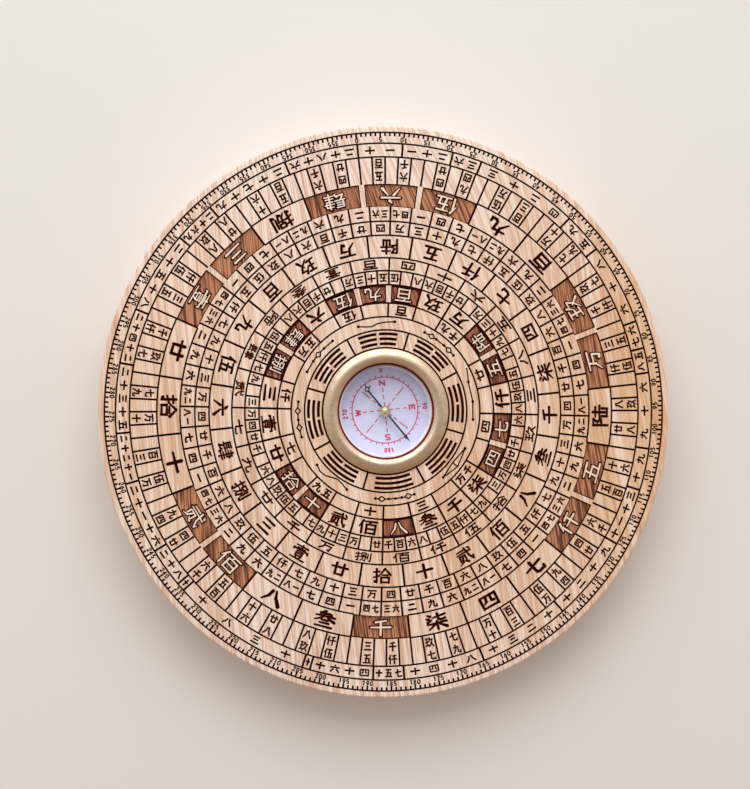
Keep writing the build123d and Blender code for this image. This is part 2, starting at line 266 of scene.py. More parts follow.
def grain_tree():
    """The board's grain in three dimensions, which all its finishes share, and the painted light and
    shade in its tone.
    """
    tree = bpy.data.node_groups.new("beech_grain", "ShaderNodeTree")
    place = add(tree, "ShaderNodeMapping", {
        "Vector": add(tree, "ShaderNodeTexCoord").outputs["Object"],
        "Scale": (1 / MM, 1 / MM, 1 / MM),
    })
    # As it rises, the grain leans left at the disc's right side, a little right at its left side,
    # and left most of all near its top.
    split = add(tree, "ShaderNodeSeparateXYZ", {0: place.outputs[0]})
    x, y, z = split.outputs
    lean = add(tree, "ShaderNodeMath", {0: x, 1: LEAN_GAIN, 2: GRAIN_LEAN},
               operation="MULTIPLY_ADD")
    side = add(tree, "ShaderNodeMath", {0: y, 1: lean.outputs[0], 2: x}, operation="MULTIPLY_ADD")
    above = add(tree, "ShaderNodeMath", {0: y, 1: 0.0}, operation="MAXIMUM")
    above = add(tree, "ShaderNodeMath", {0: above.outputs[0], 1: 2.0}, operation="POWER")
    away = add(tree, "ShaderNodeMath", {0: x, 1: TOP_BEND_SIDE}, operation="SUBTRACT")
    away = add(tree, "ShaderNodeMath", {0: away.outputs[0]}, operation="ABSOLUTE")
    near = add(tree, "ShaderNodeMapRange", {
        0: away.outputs[0], 2: TOP_BEND_REACH, 3: TOP_BEND, 4: 0.0,
    }, interpolation_type="SMOOTHSTEP")
    side = add(tree, "ShaderNodeMath", {
        0: above.outputs[0], 1: near.outputs[0], 2: side.outputs[0],
    }, operation="MULTIPLY_ADD")
    sway = add(tree, "ShaderNodeVectorMath", {0: place.outputs[0], 1: SWAY_RATES},
               operation="MULTIPLY")
    sway = add(tree, "ShaderNodeTexNoise", {"Vector": sway.outputs[0], "Scale": 1.0, "Detail": 1.0})
    side = add(tree, "ShaderNodeMath", {0: sway.outputs[0], 1: SWAY, 2: side.outputs[0]},
               operation="MULTIPLY_ADD")
    along = add(tree, "ShaderNodeCombineXYZ", {0: side.outputs[0], 1: y, 2: z}).outputs[0]
    # Growth lines are cuts through the trunk's rings.
    trunk = add(tree, "ShaderNodeMapping", {
        "Vector": along, "Location": (TRUNK_SIDE, 0, TRUNK_DEPTH),
        "Rotation": (radians(GRAIN_TILT), 0, 0),
    })
    across = add(tree, "ShaderNodeVectorMath", {0: trunk.outputs[0], 1: (1, 0, 1)},
                 operation="MULTIPLY")
    reach = add(tree, "ShaderNodeVectorMath", {0: across.outputs[0]}, operation="LENGTH")
    wander = add(tree, "ShaderNodeVectorMath", {0: along, 1: WANDER_RATES}, operation="MULTIPLY")
    wander = add(tree, "ShaderNodeTexNoise", {
        "Vector": wander.outputs[0], "Scale": 1.0, "Detail": 2.0,
    })
    bent = add(tree, "ShaderNodeMath", {
        0: wander.outputs[0], 1: GROWTH_WANDER, 2: reach.outputs["Value"],
    }, operation="MULTIPLY_ADD")
    turns = add(tree, "ShaderNodeMath", {0: bent.outputs[0], 1: 2 * pi / GROWTH_SPACING},
                operation="MULTIPLY")
    wave = add(tree, "ShaderNodeMath", {0: turns.outputs[0]}, operation="SINE")
    growth = add(tree, "ShaderNodeMath", {0: wave.outputs[0], 1: 0.5, 2: 0.5},
                 operation="MULTIPLY_ADD")
    found = {"Growth": growth.outputs[0]}
    for label, narrow, short, detail in STREAKS:
        rates = (narrow, short, UPRIGHT_SHARE * narrow)
        drawn = add(tree, "ShaderNodeVectorMath", {0: along, 1: rates}, operation="MULTIPLY")
        noise = add(tree, "ShaderNodeTexNoise", {
            "Vector": drawn.outputs[0], "Scale": 1.0, "Detail": detail,
        })
        found[label] = noise.outputs[0]
    # Flecks lie thickly in some parts of the board and thinly in others.
    patch = add(tree, "ShaderNodeVectorMath", {0: along, 1: PATCH_RATES}, operation="MULTIPLY")
    patch = add(tree, "ShaderNodeTexNoise", {
        "Vector": patch.outputs[0], "Scale": 1.0, "Detail": 1.0,
    })
    thick = add(tree, "ShaderNodeMath", {0: patch.outputs[0], 1: PATCH_SHARE, 2: found["Flecks"]},
                operation="MULTIPLY_ADD")
    thick = add(tree, "ShaderNodeMath", {0: thick.outputs[0], 1: PATCH_SHARE / 2},
                operation="SUBTRACT")
    found["Flecks"] = thick.outputs[0]
    # A vein is a thin line where its noise passes through the middle of its range.
    off = add(tree, "ShaderNodeMath", {0: found["Veins"], 1: 0.5}, operation="SUBTRACT")
    off = add(tree, "ShaderNodeMath", {0: off.outputs[0]}, operation="ABSOLUTE")
    vein = add(tree, "ShaderNodeMath", {0: off.outputs[0], 1: -2.0, 2: 1.0},
               operation="MULTIPLY_ADD")
    found["Veins"] = vein.outputs[0]
    # Painted light and shade in the tone: the board is warmer and darker towards its right, and paler
    # towards its top and bottom.
    painted_light = add(tree, "ShaderNodeMath", {0: x, 1: PAINTED_SHADE_RIGHT_GAIN, 2: PAINTED_SHADE_RIGHT},
                 operation="MULTIPLY_ADD")
    tone = add(tree, "ShaderNodeMath", {0: painted_light.outputs[0], 1: x, 2: found["Tone"]},
               operation="MULTIPLY_ADD")
    painted_light = add(tree, "ShaderNodeMath", {0: y, 1: PAINTED_LIGHT_UP_GAIN, 2: PAINTED_LIGHT_UP},
                 operation="MULTIPLY_ADD")
    tone = add(tree, "ShaderNodeMath", {0: painted_light.outputs[0], 1: y, 2: tone.outputs[0]},
               operation="MULTIPLY_ADD")
    found["Tone"] = tone.outputs[0]
    output = add(tree, "NodeGroupOutput")
    for label, value in found.items():
        tree.interface.new_socket(label, in_out="OUTPUT", socket_type="NodeSocketFloat")
        tree.links.new(value, output.inputs[label])
    return tree


# A finish has its pale colour where the board's tone is the first of these, and its warm one at
# the second.
PALE_TONE, WARM_TONE = -0.16, 0.84
# A finish's gloss follows its fibres by this much either way.
GLOSS_SPREAD = 0.05


def make_wood(name, pale, warm, layers, rough, relief):
    """A finish of the board. Each layer is a streak, where on it the layer starts and where it is
    full, its share there and its colour."""
    material, tree, shader = new_material(name)
    grain = add(tree, "ShaderNodeGroup", node_tree=GRAIN)
    share = add(tree, "ShaderNodeMapRange", {0: grain.outputs["Tone"], 1: PALE_TONE, 2: WARM_TONE})
    seen = add(tree, "ShaderNodeMix", {0: share.outputs[0], 6: colour(pale), 7: colour(warm)},
               data_type="RGBA")
    for streak, start, full, most, tint in layers:
        share = add(tree, "ShaderNodeMapRange", {
            0: grain.outputs[streak], 1: start, 2: full, 4: most,
        }, interpolation_type="SMOOTHSTEP")
        seen = add(tree, "ShaderNodeMix", {
            0: share.outputs[0], 6: seen.outputs[2], 7: colour(tint),
        }, data_type="RGBA")
    tree.links.new(seen.outputs[2], shader.inputs["Base Color"])
    gloss = add(tree, "ShaderNodeMapRange", {
        0: grain.outputs["Fibres"], 1: 0.3, 2: 0.7,
        3: rough - GLOSS_SPREAD, 4: rough + GLOSS_SPREAD,
    })
    tree.links.new(gloss.outputs[0], shader.inputs["Roughness"])
    height = add(tree, "ShaderNodeBump", {
        "Height": grain.outputs["Fibres"], "Strength": 0.4, "Distance": relief * MM,
    })
    tree.links.new(height.outputs[0], shader.inputs["Normal"])
    return material


# Size of the patches in a char's two tones, in millimetres
BURN_PATCH = 1.25


def make_char(name, thin, thick):
    """Beech charred by a laser's cut: matt, in patches of two close tones."""
    material, tree, shader = new_material(name)
    place = add(tree, "ShaderNodeTexCoord").outputs["Object"]
    burn = add(tree, "ShaderNodeTexNoise", {
        "Vector": place, "Scale": 1 / BURN_PATCH / MM, "Detail": 3.0,
    })
    share = add(tree, "ShaderNodeMapRange", {0: burn.outputs[0], 1: 0.4, 2: 0.7})
    seen = add(tree, "ShaderNodeMix", {0: share.outputs[0], 6: colour(thick), 7: colour(thin)},
               data_type="RGBA")
    tree.links.new(seen.outputs[2], shader.inputs["Base Color"])
    shader.inputs["Roughness"].default_value = 0.9
    shader.inputs["Specular IOR Level"].default_value = 0.0
    return material


# Brush marks on the bezel, in millimetres, and the patches of its patina for each millimetre
BRUSH_SPACING = 0.4
BRUSH_RATE = 0.6
PATINA_RATE = 0.4


def make_bezel_gold():
    """Stamped brass, brushed outwards, plated champagne gold and lacquered: satin, with short
    radial marks."""
    material, tree, shader = new_material("satin_gold_plate")
    place = add(tree, "ShaderNodeMapping", {
        "Vector": add(tree, "ShaderNodeTexCoord").outputs["Object"],
        "Scale": (1 / MM, 1 / MM, 1 / MM),
    }).outputs[0]
    patina = add(tree, "ShaderNodeTexNoise", {
        "Vector": place, "Scale": PATINA_RATE, "Detail": 3.0,
    }).outputs[0]
    share = add(tree, "ShaderNodeMapRange", {0: patina, 1: 0.35, 2: 0.68})
    gold = add(tree, "ShaderNodeMix", {
        0: share.outputs[0], 6: colour("#E8D2B8"), 7: colour("#DABF9F"),
    }, data_type="RGBA")
    # The marks run across the ring and are 1 to 2 mm long.
    split = add(tree, "ShaderNodeSeparateXYZ", {0: place})
    angle = add(tree, "ShaderNodeMath", {0: split.outputs["Y"], 1: split.outputs["X"]},
                operation="ARCTAN2")
    round_it = add(tree, "ShaderNodeMath", {0: angle.outputs[0], 1: BEZEL_CROWN / BRUSH_SPACING},
                   operation="MULTIPLY")
    flat = add(tree, "ShaderNodeVectorMath", {0: place, 1: (1, 1, 0)}, operation="MULTIPLY")
    radius = add(tree, "ShaderNodeVectorMath", {0: flat.outputs[0]}, operation="LENGTH")
    outwards = add(tree, "ShaderNodeMath", {0: radius.outputs["Value"], 1: BRUSH_RATE},
                   operation="MULTIPLY")
    brush = add(tree, "ShaderNodeCombineXYZ", {0: round_it.outputs[0], 1: outwards.outputs[0]})
    marks = add(tree, "ShaderNodeTexNoise", {
        "Vector": brush.outputs[0], "Scale": 1.0, "Detail": 2.0,
    }).outputs[0]
    share = add(tree, "ShaderNodeMapRange", {0: marks, 1: 0.42, 2: 0.68, 4: 0.5})
    worn = add(tree, "ShaderNodeMix", {
        0: share.outputs[0], 6: gold.outputs[2], 7: colour("#C6A884"),
    }, data_type="RGBA")
    tree.links.new(worn.outputs[2], shader.inputs["Base Color"])
    shader.inputs["Metallic"].default_value = 1.0
    shader.inputs["Coat Weight"].default_value = 0.6
    shader.inputs["Coat Roughness"].default_value = 0.28
    rough = add(tree, "ShaderNodeMapRange", {0: patina, 1: 0.3, 2: 0.7, 3: 0.34, 4: 0.46})
    tree.links.new(rough.outputs[0], shader.inputs["Roughness"])
    dents = add(tree, "ShaderNodeMath", {0: patina, 1: 3.0, 2: marks}, operation="MULTIPLY_ADD")
    bump = add(tree, "ShaderNodeBump", {
        "Height": dents.outputs[0], "Strength": 0.5, "Distance": 0.02 * MM,
    })
    tree.links.new(bump.outputs[0], shader.inputs["Normal"])
    return material


def make_plain(name, hex_low, hex_high, rough_low, rough_high, grain, metallic=0.0, specular=0.5):
    """A moulded, turned or printed finish: two close tones and two close gloss levels, mottled
    together in patches of the size of its grain in millimetres."""
    material, tree, shader = new_material(name)
    place = add(tree, "ShaderNodeTexCoord").outputs["Object"]
    mottle = add(tree, "ShaderNodeTexNoise", {
        "Vector": place, "Scale": 1 / grain / MM, "Detail": 3.0,
    }).outputs[0]
    share = add(tree, "ShaderNodeMapRange", {0: mottle, 1: 0.35, 2: 0.65})
    seen = add(tree, "ShaderNodeMix", {
        0: share.outputs[0], 6: colour(hex_low), 7: colour(hex_high),
    }, data_type="RGBA")
    tree.links.new(seen.outputs[2], shader.inputs["Base Color"])
    gloss = add(tree, "ShaderNodeMapRange", {
        0: mottle, 1: 0.3, 2: 0.7, 3: rough_low, 4: rough_high,
    })
    tree.links.new(gloss.outputs[0], shader.inputs["Roughness"])
    shader.inputs["Metallic"].default_value = metallic
    shader.inputs["Specular IOR Level"].default_value = specular
    return material


def make_acrylic():
    """Cast acrylic, polished and coated against glare: clear, and it lets the lamps through."""
    material, tree, shader = new_material("clear_acrylic")
    shader.inputs["Base Color"].default_value = colour("#FFFFFF")
    shader.inputs["Transmission Weight"].default_value = 1.0
    shader.inputs["Roughness"].default_value = 0.02
    shader.inputs["IOR"].default_value = 1.49
    shader.inputs["Specular IOR Level"].default_value = 0.3
    through = add(tree, "ShaderNodeBsdfTransparent")
    path = add(tree, "ShaderNodeLightPath")
    both = add(tree, "ShaderNodeMixShader", {
        0: path.outputs["Is Shadow Ray"], 1: shader.outputs[0], 2: through.outputs[0],
    })
    output = tree.nodes["Material Output"]
    tree.links.new(both.outputs[0], output.inputs["Surface"])
    return material


# Flat shapes, as closed rows of (x, y) points in millimetres, counterclockwise

def at(radius, angle):
    """The point at a ring angle, which runs clockwise from +Y in degrees."""
    return (radius * sin(radians(angle)), radius * cos(radians(angle)))


def arc_points(radius, start, end, step):
    """Points along an arc from one ring angle to another, about step degrees apart."""
    count = max(1, round(abs(end - start) / step))
    return [at(radius, start + (end - start) * i / count) for i in range(count + 1)]


def arc_cell(outer, inner, start, end, step=1.5):
    """A piece of a ring between two radii and two angles."""
    return arc_points(inner, start, end, step) + arc_points(outer, end, start, step)


def divider(outer, inner, angle, width=DIVIDER_WIDTH):
    """A straight mark along the radius."""
    half = width / 2
    x, y = at(1, angle)
    return [
        (x * inner + y * half, y * inner - x * half),
        (x * outer + y * half, y * outer - x * half),
        (x * outer - y * half, y * outer + x * half),
        (x * inner - y * half, y * inner + x * half),
    ]


def bar(start, end, width, end_width, tips=(0, 0), reach=(0, 0)):
    """A straight stroke that may widen or narrow. Each end may be a blunt point, or reach on by a
    length."""
    length = hypot(end[0] - start[0], end[1] - start[1])
    x, y = (end[0] - start[0]) / length, (end[1] - start[1]) / length
    a, b = width / 2, end_width / 2
    start = (start[0] - x * reach[0], start[1] - y * reach[0])
    end = (end[0] + x * reach[1], end[1] + y * reach[1])
    points = [(start[0] + y * a, start[1] - x * a), (end[0] + y * b, end[1] - x * b)]
    if tips[1]:
        points.append((end[0] + x * b * tips[1], end[1] + y * b * tips[1]))
    points += [(end[0] - y * b, end[1] + x * b), (start[0] - y * a, start[1] + x * a)]
    if tips[0]:
        points.append((start[0] - x * a * tips[0], start[1] - y * a * tips[0]))
    return points


# How a broad pen's stroke starts and ends, and how far it reaches into a joint, as shares of its
# width
PEN_TIP = 0.8
JOINT_REACH = 0.35
FALL_START, FALL_END = 1.2, 0.45
PRESS_START, PRESS_END = 0.6, 1.35
LEVEL_START, LEVEL_END = 0.65, 0.95
UPRIGHT_START, UPRIGHT_END = 1.1, 0.95
# A stroke is level or upright when it strays less than this share of its run to the side.
SLANT_SHARE = 0.3
# A numeral with many strokes takes a thinner pen.
FULL_WEIGHT = 1.15
WEIGHT_LOSS = 0.03
LEAST_WEIGHT = 0.72


def pen_widths(dx, dy):
    """How a broad pen starts and ends a stroke: falling left it thins, falling right it swells."""
    if abs(dy) < SLANT_SHARE * abs(dx):
        return LEVEL_START, LEVEL_END
    if abs(dx) < SLANT_SHARE * abs(dy):
        return UPRIGHT_START, UPRIGHT_END
    return (FALL_START, FALL_END) if dx * dy > 0 else (PRESS_START, PRESS_END)


def numeral(name, centre, size, weight, up, grow=0.0, broad=False):
    """The strokes of a numeral as flat shapes. up is the direction of its top, and broad draws it
    with a broad pen."""
    ux, uy = up
    shapes = []
    strokes = [stroke.split() for stroke in NUMERALS[name].split(";")]
    stroke_count = sum(len(stroke) - 1 for stroke in strokes)
    weight *= max(LEAST_WEIGHT, FULL_WEIGHT - WEIGHT_LOSS * stroke_count)
    for stroke in strokes:
        corners = [tuple(float(v) / 100 - 0.5 for v in corner.split(",")) for corner in stroke]
        placed = [
            (centre[0] + x * size[0] * uy + y * size[1] * ux,
             centre[1] - x * size[0] * ux + y * size[1] * uy)
            for x, y in corners
        ]
        for i in range(len(placed) - 1):
            first, last = 1.0, 1.0
            joined, joins = i > 0, i < len(placed) - 2
            if broad:
                dx = (corners[i + 1][0] - corners[i][0]) * size[0]
                dy = (corners[i + 1][1] - corners[i][1]) * size[1]
                first, last = pen_widths(dx, dy)
                first = 1.0 if joined else first
                last = 1.0 if joins else last
            tips = [PEN_TIP if broad and not meets else 0 for meets in (joined, joins)]
            reach = [meets * JOINT_REACH * weight + grow / 2 for meets in (joined, joins)]
            shapes.append(bar(
                placed[i], placed[i + 1], weight * first + grow, weight * last + grow, tips, reach
            ))
    return shapes


def numeral_in_ring(name, radius, angle, size, weight, grow=0.0, broad=False, outward=False):
    """A numeral in a ring, with its top towards the centre, or away from it."""
    x, y = at(1, angle)
    up = (x, y) if outward else (-x, -y)
    return numeral(name, at(radius, angle), size, weight, up, grow, broad)


def row_in_ring(names, radius, angle, size, weight, pitch, grow=0.0, broad=False, outward=False):
    """Numerals side by side in a ring, read with their tops towards the centre, or away from it."""
    step = degrees(pitch / radius) * (1 if outward else -1)
    shapes = []
    for i, name in enumerate(names):
        place = angle + (i - (len(names) - 1) / 2) * step
        shapes += numeral_in_ring(name, radius, place, size, weight, grow, broad, outward)
    return shapes


def chain(points, width, closed=False):
    """A thin line through points, as straight strokes with blunt joints."""
    ends = points[1:] + points[:1] if closed else points[1:]
    return [bar(a, b, width, width, (PEN_TIP, PEN_TIP)) for a, b in zip(points, ends)]


def dot(centre, radius, sides=8):
    """A small round dot."""
    turns = [2 * pi * i / sides for i in range(sides)]
    return [(centre[0] + radius * cos(t), centre[1] + radius * sin(t)) for t in turns]


def spelled(number):
    """A number under a hundred in counting numerals, such as two ten five."""
    tens, ones = divmod(number, 10)
    names = ([FIRST_TEN[tens - 1]] if tens > 1 else []) + (["ten"] if tens else [])
    return names + ([FIRST_TEN[ones - 1]] if ones else [])


# Engraving of the face: each ring's marks as (kind, shape). A later kind lies over an earlier one.
# A numeral's size is its width and height, and its weight is its strokes' width. Simple counting
# rules choose the numerals, so they spell nothing.
KINDS = ("edge", "line", "core", "border", "panel", "outline", "raised")
BURN_EDGE = 0.16
BOLD_BURN_EDGE = 0.2


def burnt(names, radius, angle, size, weight, pitch=1.0):
    """A row of numerals burnt in thin strokes: each stroke dark inside a brown edge, where the
    burn thins out."""
    marks = []
    for kind, grow in (("edge", BURN_EDGE), ("line", 0)):
        for shape in row_in_ring(names, radius, angle, size, weight, pitch, grow):
            marks.append((kind, shape))
    return marks


def burnt_bold(name, radius, angle, size, weight, broad):
    """A bold numeral, with a black core inside a brown edge."""
    marks = []
    for kind, grow in (("edge", BOLD_BURN_EDGE), ("core", 0)):
        for shape in numeral_in_ring(name, radius, angle, size, weight, grow, broad):
            marks.append((kind, shape))
    return marks


def degree_scale():
    """The outermost ring: a tick each degree and a number each five degrees."""
    outer, inner = RING_LINES[0], RING_LINES[1]
    short_tick, long_tick, tick_width = 1.0, 1.3, 0.5
    digit_rise, digit, weight, pitch = 0.98, (0.74, 1.12), 0.32, 1.0
    marks = []
    for angle in range(360):
        length = long_tick if angle % 5 == 0 else short_tick
        marks.append(("line", divider(outer, outer - length, angle, tick_width)))
    for angle in range(0, 360, 5):
        for shape in row_in_ring(str(angle), inner + digit_rise, angle, digit, weight, pitch):
            marks.append(("line", shape))
    return marks


LODGE_DIVIDERS = (
    0, 9.8, 20.8, 27.2, 49.8, 58.6, 76.4, 82.4, 87.8, 104.3, 113.4, 126.0, 144.6, 164.6,
    182.2, 188.9, 202.6, 204.3, 234.7, 236.5, 245.0, 260.5, 271.4, 286.4, 298.3, 316.2, 325.3,
    344.0,
)


def uneven_ring():
    """The ring of 28 uneven cells. Each holds its own number and then its width in degrees, spread
    out, as far as they fit."""
    outer, inner = RING_LINES[1], RING_LINES[2]
    middle = (outer + inner) / 2
    widest, height, weight, least_pitch, side_room = 2.9, 2.2, 0.46, 2.5, 0.2
    width_share, narrow_room, narrow_share = 0.8, 2.6, 0.6
    marks = []
    for number, start in enumerate(LODGE_DIVIDERS, 1):
        end = LODGE_DIVIDERS[number] if number < len(LODGE_DIVIDERS) else 360
        marks.append(("line", divider(outer, inner, start, BOLD_DIVIDER_WIDTH)))
        room = radians(end - start) * middle
        names = spelled(number) + spelled(round(end - start))
        while len(names) > 1 and room / (len(names) + side_room) < least_pitch:
            names.pop()
        pitch = room / (len(names) + side_room)
        width = min(widest, width_share * pitch) if room > narrow_room else narrow_share * room
        for shape in row_in_ring(names, middle, (start + end) / 2, (width, height), weight, pitch):
            marks.append(("line", shape))
    return marks


def narrow_ring():
    """The ring of 120 narrow cells. In each group of five, the second and fourth hold two stacked
    numerals."""
    outer, inner = RING_LINES[2], RING_LINES[3]
    size, weight, upper_rise, lower_drop = (2.2, 2.5), 0.31, 2.0, 1.75
    marks = []
    for cell in range(120):
        start = cell * 3
        marks.append(("line", divider(outer, inner, start)))
        if cell % 5 in (1, 3):
            count = cell // 5 * 2 + (cell % 5) // 2
            upper, lower = SMALL_NUMERALS[count % 15], SMALL_NUMERALS[(count * 4 + 5) % 15]
            for name, radius in ((upper, inner + upper_rise), (lower, outer - lower_drop)):
                marks += burnt([name], radius, start + 1.5, size, weight)
    return marks


# A raised numeral's weight as a share of a burnt one's, and how much wider its dark outline is: a
# band of painted shade round the foot of its strokes
RAISED_SHARE = 0.74
SHADE_OUTLINE_GROWTH = 0.6


def direction_ring(outer, inner, turn, offset, size, weight, panels, broad=True):
    """A ring of 24 directions with a bold numeral in each, raised from a burnt panel where the
    cell is dark."""
    marks = []
    middle = (outer + inner) / 2
    half_bar = degrees(PANEL_BAR / 2 / middle)
    border = degrees(PANEL_BORDER / middle)
    for cell in range(24):
        left = turn + (cell - 0.5) * 15
        before, after = (cell - 1) % 24, (cell + 1) % 24
        dark = panels and cell in DARK_CELLS
        name = BOLD_NUMERALS[(cell + offset) % 24]
        centre = left + 7.5
        if not (dark and before in DARK_CELLS):
            marks.append(("line", divider(outer, inner, left, BOLD_DIVIDER_WIDTH)))
        if not dark:
            marks += burnt_bold(name, middle, centre, size, weight, broad)
            continue
        start = left + (half_bar if before in DARK_CELLS else 0)
        end = left + 15 - (half_bar if after in DARK_CELLS else 0)
        marks.append(("border", arc_cell(outer, inner, start, end)))
        marks.append(("panel", arc_cell(
            outer - PANEL_BORDER, inner + PANEL_BORDER, start + border, end - border
        )))
        raised = RAISED_SHARE * weight
        # The dark outline round each raised stroke is painted shade on the panel floor.
        for kind, grow in (("outline", SHADE_OUTLINE_GROWTH), ("raised", 0)):
            for shape in numeral_in_ring(name, middle, centre, size, raised, grow, broad):
                marks.append((kind, shape))
    return marks


def broken_lines(outer, inner, turn):
    """The ring lines beside the outer panels, which run only along the light cells."""
    marks = []
    for cell in range(24):
        if cell not in DARK_CELLS:
            left = turn + (cell - 0.5) * 15
            for radius in (outer, inner):
                marks.append(("line", arc_cell(
                    radius + LINE_WIDTH / 2, radius - LINE_WIDTH / 2, left, left + 15
                )))
    return marks


def sixty_rings():
    """Two rings of 60 cells that share their dividers: one or two numerals in the outer, one in
    the inner."""
    outer, middle, inner = RING_LINES[4:7]
    pair_size, pair_weight, pair_pitch = (1.85, 2.1), 0.29, 2.3
    size, outer_weight, inner_weight = (2.6, 2.3), 0.36, 0.31
    marks = []
    for cell in range(60):
        start = 1.5 + cell * 6
        marks.append(("line", divider(outer, inner, start)))
        if cell % 5 < 2:
            pair = (FIRST_TEN[(cell + 2) % 10], FIRST_TEN[(cell + 5) % 10])
            marks += burnt(pair, (outer + middle) / 2, start + 3, pair_size, pair_weight, pair_pitch)
        else:
            name = FIRST_TEN[(cell * 3 + 4) % 10]
            marks += burnt([name], (outer + middle) / 2, start + 3, size, outer_weight)
        name = SMALL_NUMERALS[(cell * 4 + 2) % 15]
        marks += burnt([name], (middle + inner) / 2, start + 3, size, inner_weight)
    return marks


def star_ring_numerals():
    """The ring of 24 wide cells inside the plain directions, with one numeral in each."""
    outer, inner = RING_LINES[7], RING_LINES[8]
    size, weight = (4.3, 2.4), 0.36
    marks = []
    for cell in range(24):
        marks.append(("line", divider(outer, inner, cell * 15 + 7.5)))
        name = BOLD_NUMERALS[(cell * 7 + 3) % 24]
        marks += burnt([name], (outer + inner) / 2, cell * 15, size, weight)
    return marks


def seventy_two_ring():
    """The ring of 72 small cells, with one left bare in each six."""
    outer, inner = RING_LINES[8], RING_LINES[9]
    size, weight = (2.2, 2.15), 0.27
    marks = []
    for cell in range(72):
        start = 2.5 + cell * 5
        marks.append(("line", divider(outer, inner, start)))
        if (cell - 2) % 6:
            name = SMALL_NUMERALS[cell * 4 % 15]
            marks += burnt([name], (outer + inner) / 2, start + 2.5, size, weight)
    return marks


def inner_pair_ring():
    """The ring inside the inner directions: every other cell holds one numeral or a pair."""
    outer, inner = RING_LINES[10], RING_LINES[11]
    middle = (outer + inner) / 2
    pair_size, pair_weight, pair_pitch = (2.6, 2.3), 0.35, 3.0
    size, weight = (3.4, 2.5), 0.37
    marks = []
    for cell in range(24):
        marks.append(("line", divider(outer, inner, cell * 15 + 7.5)))
        if cell % 2:
            name = SMALL_NUMERALS[(cell * 2 + 3) % 15]
            if cell % 6 == 3:
                pair = (name, SMALL_NUMERALS[cell % 15])
                marks += burnt(pair, middle, cell * 15, pair_size, pair_weight, pair_pitch)
            else:
                marks += burnt([name], middle, cell * 15, size, weight)
    return marks


# The eight traditional star figures, by the ring angle of each: its beads, the diamonds on its
# line, and the points of its curls or corners as (radius, ring angle)
FIGURE_RADIUS = 23.07
FIGURE_LINE = 0.38
BEAD_RADIUS = 0.42
DIAMOND_HALF = 0.68
DIAMOND_REACH = 0.95
BEADS = {
    45: (32.4, 41.3, 47.6, 56.7), 90: (76.7, 89.9, 101.7), 135: (121.3, 145.3),
    180: (167.2, 175.7, 179.9, 184.3, 193.0), 270: (258.9, 270.4, 282.2),
    315: (302.6, 310.7, 321.6, 328.9),
}
DIAMONDS = {45: (37.7, 52.1), 180: (171.4, 188.8), 270: (265.3, 276.2), 315: (316.0,)}
TAIL_POINTS = ((24.1, 68.2), (23.6, 72.5), (FIGURE_RADIUS, 76.7))
KITE_POINTS = ((FIGURE_RADIUS, 121.3), (23.9, 133.7), (FIGURE_RADIUS, 145.3), (22.2, 133.7))
CURLS = (
    ((23.27, 348.0), (22.77, 352.0), (22.45, 356.5), (23.07, 361.0), (23.37, 366.0), (23.57, 371.9)),
    ((22.97, 212.6), (22.27, 217.0), (21.87, 221.5), (23.17, 229.5), (23.37, 233.8), (22.87, 238.2)),
)


def diamond(angle):
    """The corners of a small diamond on the figures' circle."""
    x, y = at(1, angle)
    centre_x, centre_y = at(FIGURE_RADIUS, angle)
    return [
        (centre_x + y * DIAMOND_REACH, centre_y - x * DIAMOND_REACH),
        (centre_x + x * DIAMOND_HALF, centre_y + y * DIAMOND_HALF),
        (centre_x - y * DIAMOND_REACH, centre_y + x * DIAMOND_REACH),
        (centre_x - x * DIAMOND_HALF, centre_y - y * DIAMOND_HALF),
    ]


def star_figures():
    """The ring of star figures: dots, diamonds and curls joined by a thin line."""
    marks = []
    edge = degrees(DIAMOND_REACH / FIGURE_RADIUS)
    for figure, angles in BEADS.items():
        for angle in angles:
            marks.append(dot(at(FIGURE_RADIUS, angle), BEAD_RADIUS))
        gaps = DIAMONDS.get(figure, ())
        for first, last in zip(angles, angles[1:]):
            between = [angle for angle in gaps if first < angle < last]
            ends = [first] + [v for angle in between for v in (angle - edge, angle + edge)] + [last]
            for low, high in zip(ends[::2], ends[1::2]):
                # The kite at 135 has its own lines.
                if high - low > 0.5 and figure != 135:
                    line_ends = at(FIGURE_RADIUS, low), at(FIGURE_RADIUS, high)
                    marks.append(bar(*line_ends, FIGURE_LINE, FIGURE_LINE))
        for angle in gaps:
            marks += chain(diamond(angle), FIGURE_LINE, True)
    kite = [at(*point) for point in KITE_POINTS]
    marks += chain([at(*point) for point in TAIL_POINTS], FIGURE_LINE)
    marks += chain(kite, FIGURE_LINE, True)
    marks += chain([kite[1], kite[3]], FIGURE_LINE)
    for curl in CURLS:
        route = [at(*point) for point in curl]
        marks += chain(route, FIGURE_LINE)
        marks += [dot(route[0], BEAD_RADIUS), dot(route[-1], BEAD_RADIUS)]
    return [("line", shape) for shape in marks]


# Eight trigrams, clockwise from the mark 0, each from its inner bar outwards: 1 whole, 0 broken
TRIGRAMS = ((0, 0, 0), (1, 0, 0), (1, 0, 1), (1, 1, 0), (1, 1, 1), (0, 1, 1), (0, 1, 0), (0, 0, 1))
TRIGRAM_RADII = (17.7, 19.0, 20.3)
TRIGRAM_BAR = 0.58
TRIGRAM_REACH = 14.6
TRIGRAM_GAP = 0.86
TRIGRAM_DIVIDER = 0.55
TRIGRAM_STEP = 2.4


